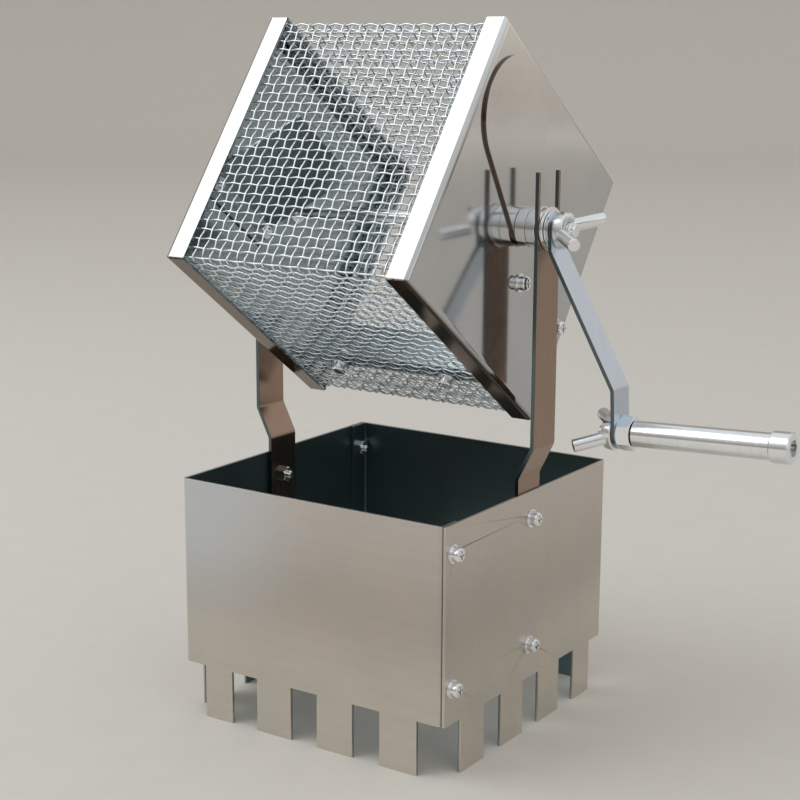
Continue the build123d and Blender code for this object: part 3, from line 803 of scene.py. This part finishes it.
class ROASTER_OT_woven_mesh(bpy.types.Operator):
    """Weave the drum's four faces from crimped wire"""

    bl_idname = "roaster.woven_mesh"
    bl_label = "Woven Mesh"

    def execute(self, context):
        weave = context.scene.roaster_weave
        finish = context.scene.roaster_finish
        material = steel("drawn wire", finish.wire_color, 0.2, (1, 1, 1), grain=0.2, bump=0.02, clouds=0.2)
        face = woven_face(weave)
        for node, turn in FACE_TURNS.items():
            piece = duplicate(face, node.replace("mesh", "woven"))
            place = Matrix.Translation(SHAFT_CENTER) @ Matrix.Rotation(turn, 4, "X")
            set_down(piece, place)
            finish_piece(piece, material, "drum")
            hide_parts(node)
        bpy.data.objects.remove(face)
        return {"FINISHED"}


def face_path(distance):
    """Place and outward direction on the weave's middle line, from one corner's fold to the next."""
    quarter = MESH_FOLD * pi / 4
    flat = 2 * (MESH_MIDDLE - MESH_FOLD)
    center = MESH_MIDDLE - MESH_FOLD
    if distance < quarter:
        angle = pi / 4 - distance / MESH_FOLD
        side = -1
    elif distance > quarter + flat:
        angle = (distance - quarter - flat) / MESH_FOLD
        side = 1
    else:
        return distance - quarter - center, MESH_MIDDLE, 0.0
    way = side * angle
    return side * center + MESH_FOLD * sin(way), center + MESH_FOLD * cos(way), way


def woven_face(weave):
    """One face in its own place: X along the drum, Y across the face, Z out of it from the shaft."""
    radius = weave.wire_diameter / 2
    gaps = weave.gaps_across
    path_length = 2 * (MESH_MIDDLE - MESH_FOLD) + MESH_FOLD * pi / 2
    pitch_across = path_length / gaps
    pitch_along = weave.pitch_along
    around_count = int(2 * (MESH_HALF_LENGTH - radius) / pitch_along) + 1
    first_x = -(around_count - 1) / 2 * pitch_along
    wires = []
    # wires round the drum: each bows over one wire and under the next
    for parity in (0, 1):
        points = []
        for step in range(gaps * weave.steps + 1):
            distance = path_length * step / (gaps * weave.steps)
            across, out, way = face_path(distance)
            bow = radius * cos(pi * distance / pitch_across) * (1 - 2 * parity)
            points.append((first_x + parity * pitch_along, across + bow * sin(way), out + bow * cos(way)))
        wire = wire_along(f"round_wire_{parity}", points, radius)
        repeat(wire, (around_count + 1 - parity) // 2, (2 * pitch_along, 0, 0))
        wires.append(wire)
    # wires along the drum, one for each crossing; the first lies in the corner's fold
    half_run = MESH_HALF_LENGTH - radius
    along_steps = around_count * weave.steps
    for parity in (0, 1):
        points = []
        for step in range(along_steps + 1):
            x = -half_run + 2 * half_run * step / along_steps
            bow = radius * cos(pi * (x - first_x) / pitch_along) * (2 * parity - 1)
            points.append((x, 0, bow))
        wire = wire_along(f"long_wire_{parity}", points, radius)
        if parity == 0:
            corner = duplicate(wire, "corner_wire")
            across, out, way = face_path(0)
            set_down(corner, Matrix.Translation((0, across, out)) @ Matrix.Rotation(-way, 4, "X"))
            wires.append(corner)
        first = 2 - parity
        across, out, way = face_path(first * pitch_across)
        set_down(wire, Matrix.Translation((0, across, out)))
        repeat(wire, (gaps - first + 1) // 2, (0, 2 * pitch_across, 0))
        wires.append(wire)
    face = join(wires, "woven_face")
    smooth(face, radians(75))
    return face


class ROASTER_OT_wing_nuts(bpy.types.Operator):
    """Cast the crank's and the handle's wing nuts"""

    bl_idname = "roaster.wing_nuts"
    bl_label = "Wing Nuts"

    def execute(self, context):
        finish = context.scene.roaster_finish
        sizes = context.scene.roaster_wing_nut
        material = steel("cast steel", finish.bright_color, 0.2, (1, 1, 1), grain=0.2, bump=0.12, clouds=0.6)
        nut = wing_nut(sizes)
        for name, center, out, up in (
            ("crank_wing_nut", SHAFT_CENTER, SHAFT_WAY, Vector((0, 0, 1))),
            ("handle_wing_nut", HANDLE_CENTER, -HANDLE_WAY, HANDLE_WAY.cross(Vector((0, 1, 0)))),
        ):
            piece = duplicate(nut, f"cast_{name}")
            seat, _ = reach(name, center, out)
            wing = Vector((0, cos(sizes.turn), 0)) + up * sin(sizes.turn)
            set_down(piece, along(center + out * seat, out, wing))
            finish_piece(piece, material, name)
            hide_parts(name)
        bpy.data.objects.remove(nut)
        return {"FINISHED"}


def wing_nut(sizes):
    """A wing nut on Z = 0 with its wings along X, cast in one piece and then bored."""
    base = sizes.base_diameter / 2
    top = sizes.top_diameter / 2
    height = sizes.hub_height
    nut = lathe(
        "wing_nut",
        [(0, 0), (base - 0.6 * MM, 0), (base - 0.1 * MM, 0.4 * MM), (top + 0.1 * MM, height - 0.4 * MM),
         (top - 0.5 * MM, height), (0, height)],
    )
    for side in (-1, 1):
        bpy.ops.object.mode_set(mode="EDIT")
        bpy.ops.mesh.select_all(action="SELECT")
        bpy.ops.mesh.bisect(
            plane_co=(0, side * sizes.flat_distance, 0), plane_no=(0, side, 0), use_fill=True, clear_outer=True
        )
        bpy.ops.object.mode_set(mode="OBJECT")
    face_outwards(nut)
    for side in (-1, 1):
        combine(nut, horn(sizes, side), "UNION")
    start_fresh()
    bpy.ops.mesh.primitive_cylinder_add(vertices=48, radius=BORE_RADIUS, depth=60 * MM, location=(0, 0, 0))
    combine(nut, bpy.context.active_object, "DIFFERENCE")
    rounding = nut.modifiers.new("rounding", "BEVEL")
    rounding.width = 0.2 * MM
    rounding.segments = 2
    rounding.limit_method = "ANGLE"
    rounding.angle_limit = radians(35)
    pick(nut)
    bpy.ops.object.modifier_apply(modifier="rounding")
    smooth(nut, radians(50))
    return nut


def horn(sizes, side):
    """One round wing that leaves the hub low and rises to its flat end."""
    radius = sizes.horn_diameter / 2
    root = Vector((side * HORN_ROOT_RADIUS, 0, HORN_ROOT_RISE))
    tip = Vector((side * sizes.tip_radius, 0, sizes.tip_rise))
    slope = (tip - root).normalized()
    start_fresh()
    bpy.ops.mesh.primitive_cylinder_add(vertices=32, radius=radius, depth=(tip - root).length)
    wing = bpy.context.active_object
    bpy.ops.object.mode_set(mode="EDIT")
    bpy.ops.mesh.select_all(action="DESELECT")
    bpy.ops.object.mode_set(mode="OBJECT")
    half = (tip - root).length / 2
    for vertex in wing.data.vertices:
        vertex.select = vertex.co.z > half - 1e-6
    bpy.ops.object.mode_set(mode="EDIT")
    bpy.ops.mesh.select_mode(type="VERT")
    bpy.ops.mesh.bevel(offset=0.5 * MM, segments=3, affect="EDGES")
    bpy.ops.object.mode_set(mode="OBJECT")
    set_down(wing, along((root + tip) / 2, slope))
    return wing


class ROASTER_OT_threads(bpy.types.Operator):
    """Turn the shaft and the handle's screw, with their threaded ends"""

    bl_idname = "roaster.threads"
    bl_label = "Threaded Ends"

    def execute(self, context):
        finish = context.scene.roaster_finish
        sizes = context.scene.roaster_thread
        material = steel("threaded steel", finish.bright_color, 0.18, (0.05, 1, 1), grain=0.3, bump=0.02)
        for piece, node, center, way, slot in (
            (shaft_piece(sizes), "shaft", SHAFT_CENTER, SHAFT_WAY, "turned_steel"),
            (handle_screw_piece(sizes), "handle_screw", HANDLE_CENTER, HANDLE_WAY, "fastener_steel"),
        ):
            set_down(piece, along(center, way))
            smooth(piece)
            finish_piece(piece, material, "drum")
            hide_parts(node)
        return {"FINISHED"}


def thread_profile(sizes, start, end):
    """Points of a rod from its chamfered end to the thread's runout; end may be lower than start."""
    crest = sizes.diameter / 2
    root = crest - sizes.depth
    way = 1 if end > start else -1
    return [(0, start), (root - sizes.depth, start), (root, start + way * sizes.depth), (root, end),
            (crest, end + way * sizes.depth)]


def shaft_piece(sizes):
    """The drum's shaft along Z, with a thread at each end."""
    low, high = reach("shaft", SHAFT_CENTER, SHAFT_WAY)
    profile = thread_profile(sizes, low, low + SHAFT_THREAD)
    profile += thread_profile(sizes, high, high - SHAFT_THREAD)[::-1]
    core = lathe("threaded_shaft", profile)
    lower = ridge(sizes, low + sizes.depth, low + SHAFT_THREAD)
    upper = ridge(sizes, high - SHAFT_THREAD, high - sizes.depth)
    return join([lower, upper, core], "threaded_shaft")


def handle_screw_piece(sizes):
    """The handle's cap screw along Z: thread, plain shank, and a round head with a hexagon socket."""
    low, high = reach("handle_screw", HANDLE_CENTER, HANDLE_WAY)
    crest = sizes.diameter / 2
    radius = sizes.head_diameter / 2
    seat = high - sizes.head_length
    rim = 0.5 * MM
    profile = thread_profile(sizes, low, low + HANDLE_THREAD)
    profile += [(crest, seat), (radius - 0.2 * MM, seat), (radius, seat + 0.2 * MM), (radius, high - rim),
                (radius - rim, high), (0, high)]
    core = lathe("cap_screw", profile, steps=48)
    start_fresh()
    corner = sizes.socket_flats / sqrt(3)
    bpy.ops.mesh.primitive_cylinder_add(
        vertices=6, radius=corner, depth=2 * sizes.socket_depth, location=(0, 0, high), rotation=(0, 0, pi / 6)
    )
    combine(core, bpy.context.active_object, "DIFFERENCE")
    thread = ridge(sizes, low + sizes.depth, low + HANDLE_THREAD)
    return join([thread, core], "cap_screw")


def ridge(sizes, start, end):
    """The helical ridge of a thread along Z from start to end."""
    crest = sizes.diameter / 2
    root = crest - sizes.depth - 0.05 * MM
    half = sizes.pitch * 0.42
    start_fresh()
    bpy.ops.mesh.primitive_circle_add(vertices=3, radius=half, fill_type="NOTHING")
    thread = bpy.context.active_object
    corners = ((root, -half), (crest, 0), (root, half))
    for vertex, (radius, height) in zip(thread.data.vertices, corners):
        vertex.co = (radius, 0, start + half + height)
    turns = int((end - start - 2 * half) / sizes.pitch)
    screw = thread.modifiers.new("thread", "SCREW")
    screw.axis = "Z"
    screw.angle = 2 * pi
    screw.screw_offset = sizes.pitch
    screw.iterations = turns
    screw.steps = screw.render_steps = 32
    screw.use_merge_vertices = False
    pick(thread)
    bpy.ops.object.modifier_apply(modifier="thread")
    bpy.ops.object.mode_set(mode="EDIT")
    bpy.ops.mesh.select_all(action="SELECT")
    bpy.ops.mesh.fill_holes(sides=4)
    bpy.ops.mesh.select_all(action="SELECT")
    bpy.ops.mesh.normals_make_consistent(inside=False)
    bpy.ops.object.mode_set(mode="OBJECT")
    return thread


# ---------------------------------------------------------------- stage
CAMERA_EYE = Vector((360.6, -535.8, 260.2)) * MM
CAMERA_FORWARD = Vector((-0.5456668, 0.81164181, -0.20853133))
CAMERA_UP = Vector((-0.12022136, 0.17044943, 0.97800502))
FOCAL_PIXELS = 1692.2
FRAME_PIXELS = 800
SENSOR_WIDTH = 36.0
STAGE_REACH = 4.0
STAGE_TURN = radians(33.9)      # of the backdrop, to stand across the camera's view
BACKDROP_BEND = 0.8
MIDDLE = Vector((0, 0, 0.15))
# way, target, distance, size and colour of each light
LIGHTS = {
    "key": (Vector((-0.546, -0.442, 0.712)), MIDDLE, 1.6, 1.3, (0.93, 0.97, 1.0)),
    "fill": (Vector((0.9, -0.35, 0.35)), MIDDLE, 1.8, 1.2, (1.0, 0.95, 0.88)),
    "card": (Vector((0.50, 0.86, 0.19)), Vector((0, 0, 0)), 3.7, 2.0, (1.0, 0.96, 0.90)),
}
HORIZON_COLOR = (0.34, 0.29, 0.24)
CEILING_COLOR = (0.95, 0.98, 1.0)
CEILING_START = 0.75            # of the way up, where the ceiling's colour is full


class ROASTER_OT_stage(bpy.types.Operator):
    """Lay the floor, hang the lights and set the camera"""

    bl_idname = "roaster.stage"
    bl_label = "Stage"

    def execute(self, context):
        stage = context.scene.roaster_stage
        floor = pale_floor(stage)
        for name, (way, target, distance, size, color) in LIGHTS.items():
            soft_light(name, way, target, distance, size, getattr(stage, f"{name}_power"), color)
        context.scene.world = soft_sky(stage)
        lens = bpy.data.cameras.new("camera")
        lens.sensor_width = SENSOR_WIDTH
        lens.lens = FOCAL_PIXELS / FRAME_PIXELS * SENSOR_WIDTH
        lens.clip_start = 0.01
        camera = bpy.data.objects.new("camera", lens)
        context.scene.collection.objects.link(camera)
        side = CAMERA_FORWARD.cross(CAMERA_UP).normalized()
        up = side.cross(CAMERA_FORWARD).normalized()
        turn = Matrix((side, up, -CAMERA_FORWARD.normalized())).transposed().to_4x4()
        camera.matrix_world = Matrix.Translation(CAMERA_EYE) @ turn
        context.scene.camera = camera
        context.scene.view_settings.view_transform = "Standard"
        return {"FINISHED"}


def soft_light(name, way, target, distance, size, power, color):
    """A square area light that looks at the target from the given direction."""
    lamp = bpy.data.lights.new(name, "AREA")
    lamp.size = size
    lamp.energy = power
    lamp.color = color
    light = bpy.data.objects.new(name, lamp)
    bpy.context.scene.collection.objects.link(light)
    way = way.normalized()
    light.matrix_world = along(target + way * distance, way)


def soft_sky(stage):
    """Plain surroundings that fade from a bright ceiling to a darker, warmer horizon."""
    world = bpy.data.worlds.new("studio")
    world.use_nodes = True
    nodes, links = world.node_tree.nodes, world.node_tree.links
    place = nodes.new("ShaderNodeTexCoord")
    apart = nodes.new("ShaderNodeSeparateXYZ")
    fade = nodes.new("ShaderNodeValToRGB")
    horizon, ceiling = fade.color_ramp.elements
    horizon.position = 0.0
    horizon.color = (*HORIZON_COLOR, 1)
    ceiling.position = CEILING_START
    ceiling.color = (*CEILING_COLOR, 1)
    sky = nodes["Background"]
    sky.inputs["Strength"].default_value = stage.world_strength
    links.new(place.outputs["Generated"], apart.inputs["Vector"])
    links.new(apart.outputs["Z"], fade.inputs["Fac"])
    links.new(fade.outputs["Color"], sky.inputs["Color"])
    return world


def pale_floor(stage):
    """A plain floor that curves up into a backdrop behind the object."""
    start_fresh()
    bpy.ops.mesh.primitive_plane_add(size=2 * STAGE_REACH)
    floor = bpy.context.active_object
    floor.name = floor.data.name = "floor"
    bpy.ops.object.mode_set(mode="EDIT")
    bpy.ops.mesh.select_all(action="DESELECT")
    bpy.ops.object.mode_set(mode="OBJECT")
    for vertex in floor.data.vertices:
        vertex.select = vertex.co.y > 0
    bpy.ops.object.mode_set(mode="EDIT")
    bpy.ops.mesh.select_mode(type="VERT")
    bpy.ops.mesh.select_mode(type="EDGE")
    bpy.ops.mesh.extrude_edges_move(TRANSFORM_OT_translate={"value": (0, 0, STAGE_REACH)})
    bpy.ops.mesh.select_all(action="DESELECT")
    bpy.ops.object.mode_set(mode="OBJECT")
    for edge in floor.data.edges:
        ends = [floor.data.vertices[index].co for index in edge.vertices]
        edge.select = all(end.y > 0 and end.z < 1e-6 for end in ends)
    bpy.ops.object.mode_set(mode="EDIT")
    bpy.ops.mesh.bevel(offset=BACKDROP_BEND, segments=16, affect="EDGES")
    bpy.ops.object.mode_set(mode="OBJECT")
    set_down(floor, Matrix.Rotation(STAGE_TURN, 4, "Z"))
    smooth(floor)
    paper = bpy.data.materials.new("pale floor")
    paper.use_nodes = True
    nodes, links = paper.node_tree.nodes, paper.node_tree.links
    shader = nodes["Principled BSDF"]
    shader.inputs["Roughness"].default_value = 0.75
    place = nodes.new("ShaderNodeTexCoord")
    fibre = nodes.new("ShaderNodeTexNoise")
    fibre.inputs["Scale"].default_value = 60.0
    fibre.inputs["Detail"].default_value = 4.0
    tone = nodes.new("ShaderNodeMix")
    tone.data_type = "RGBA"
    tone.inputs["A"].default_value = (*[c * 0.97 for c in stage.floor_color], 1)
    tone.inputs["B"].default_value = (*[min(1, c * 1.03) for c in stage.floor_color], 1)
    links.new(place.outputs["Object"], fibre.inputs["Vector"])
    links.new(fibre.outputs["Fac"], tone.inputs["Factor"])
    links.new(tone.outputs["Result"], shader.inputs["Base Color"])
    floor.data.materials.append(paper)
    return floor


# ---------------------------------------------------------------- panel and registration
class ROASTER_PT_panel(bpy.types.Panel):
    """Makes the roaster's pieces and finishes, one button each"""

    bl_idname = "ROASTER_PT_panel"
    bl_label = "Coffee Roaster"
    bl_space_type = "VIEW_3D"
    bl_region_type = "UI"
    bl_category = "Roaster"

    def draw(self, context):
        scene = context.scene
        for settings, operators in PANEL_ROWS:
            box = self.layout.box()
            group = getattr(scene, settings)
            for name in group.__annotations__:
                box.prop(group, name)
            for operator in operators:
                box.operator(operator.bl_idname)


PANEL_ROWS = (
    ("roaster_finish", (ROASTER_OT_sheet_finish, ROASTER_OT_hardware_finish)),
    ("roaster_weave", (ROASTER_OT_woven_mesh,)),
    ("roaster_wing_nut", (ROASTER_OT_wing_nuts,)),
    ("roaster_thread", (ROASTER_OT_threads,)),
    ("roaster_stage", (ROASTER_OT_stage,)),
)
SETTINGS = {
    "roaster_finish": RoasterFinishSettings,
    "roaster_weave": RoasterWeaveSettings,
    "roaster_wing_nut": RoasterWingNutSettings,
    "roaster_thread": RoasterThreadSettings,
    "roaster_stage": RoasterStageSettings,
}
OPERATORS = tuple(operator for _, operators in PANEL_ROWS for operator in operators)


def register():
    for name, settings in SETTINGS.items():
        bpy.utils.register_class(settings)
        setattr(bpy.types.Scene, name, bpy.props.PointerProperty(type=settings))
    for operator in OPERATORS:
        bpy.utils.register_class(operator)
    bpy.utils.register_class(ROASTER_PT_panel)


def unregister():
    bpy.utils.unregister_class(ROASTER_PT_panel)
    for operator in reversed(OPERATORS):
        bpy.utils.unregister_class(operator)
    for name, settings in SETTINGS.items():
        delattr(bpy.types.Scene, name)
        bpy.utils.unregister_class(settings)


def main():
    register()
    bpy.ops.roaster.stage()
    bpy.ops.roaster.sheet_finish()
    bpy.ops.roaster.hardware_finish()
    bpy.ops.roaster.woven_mesh()
    bpy.ops.roaster.wing_nuts()
    bpy.ops.roaster.threads()


if __name__ == "__main__":
    main()
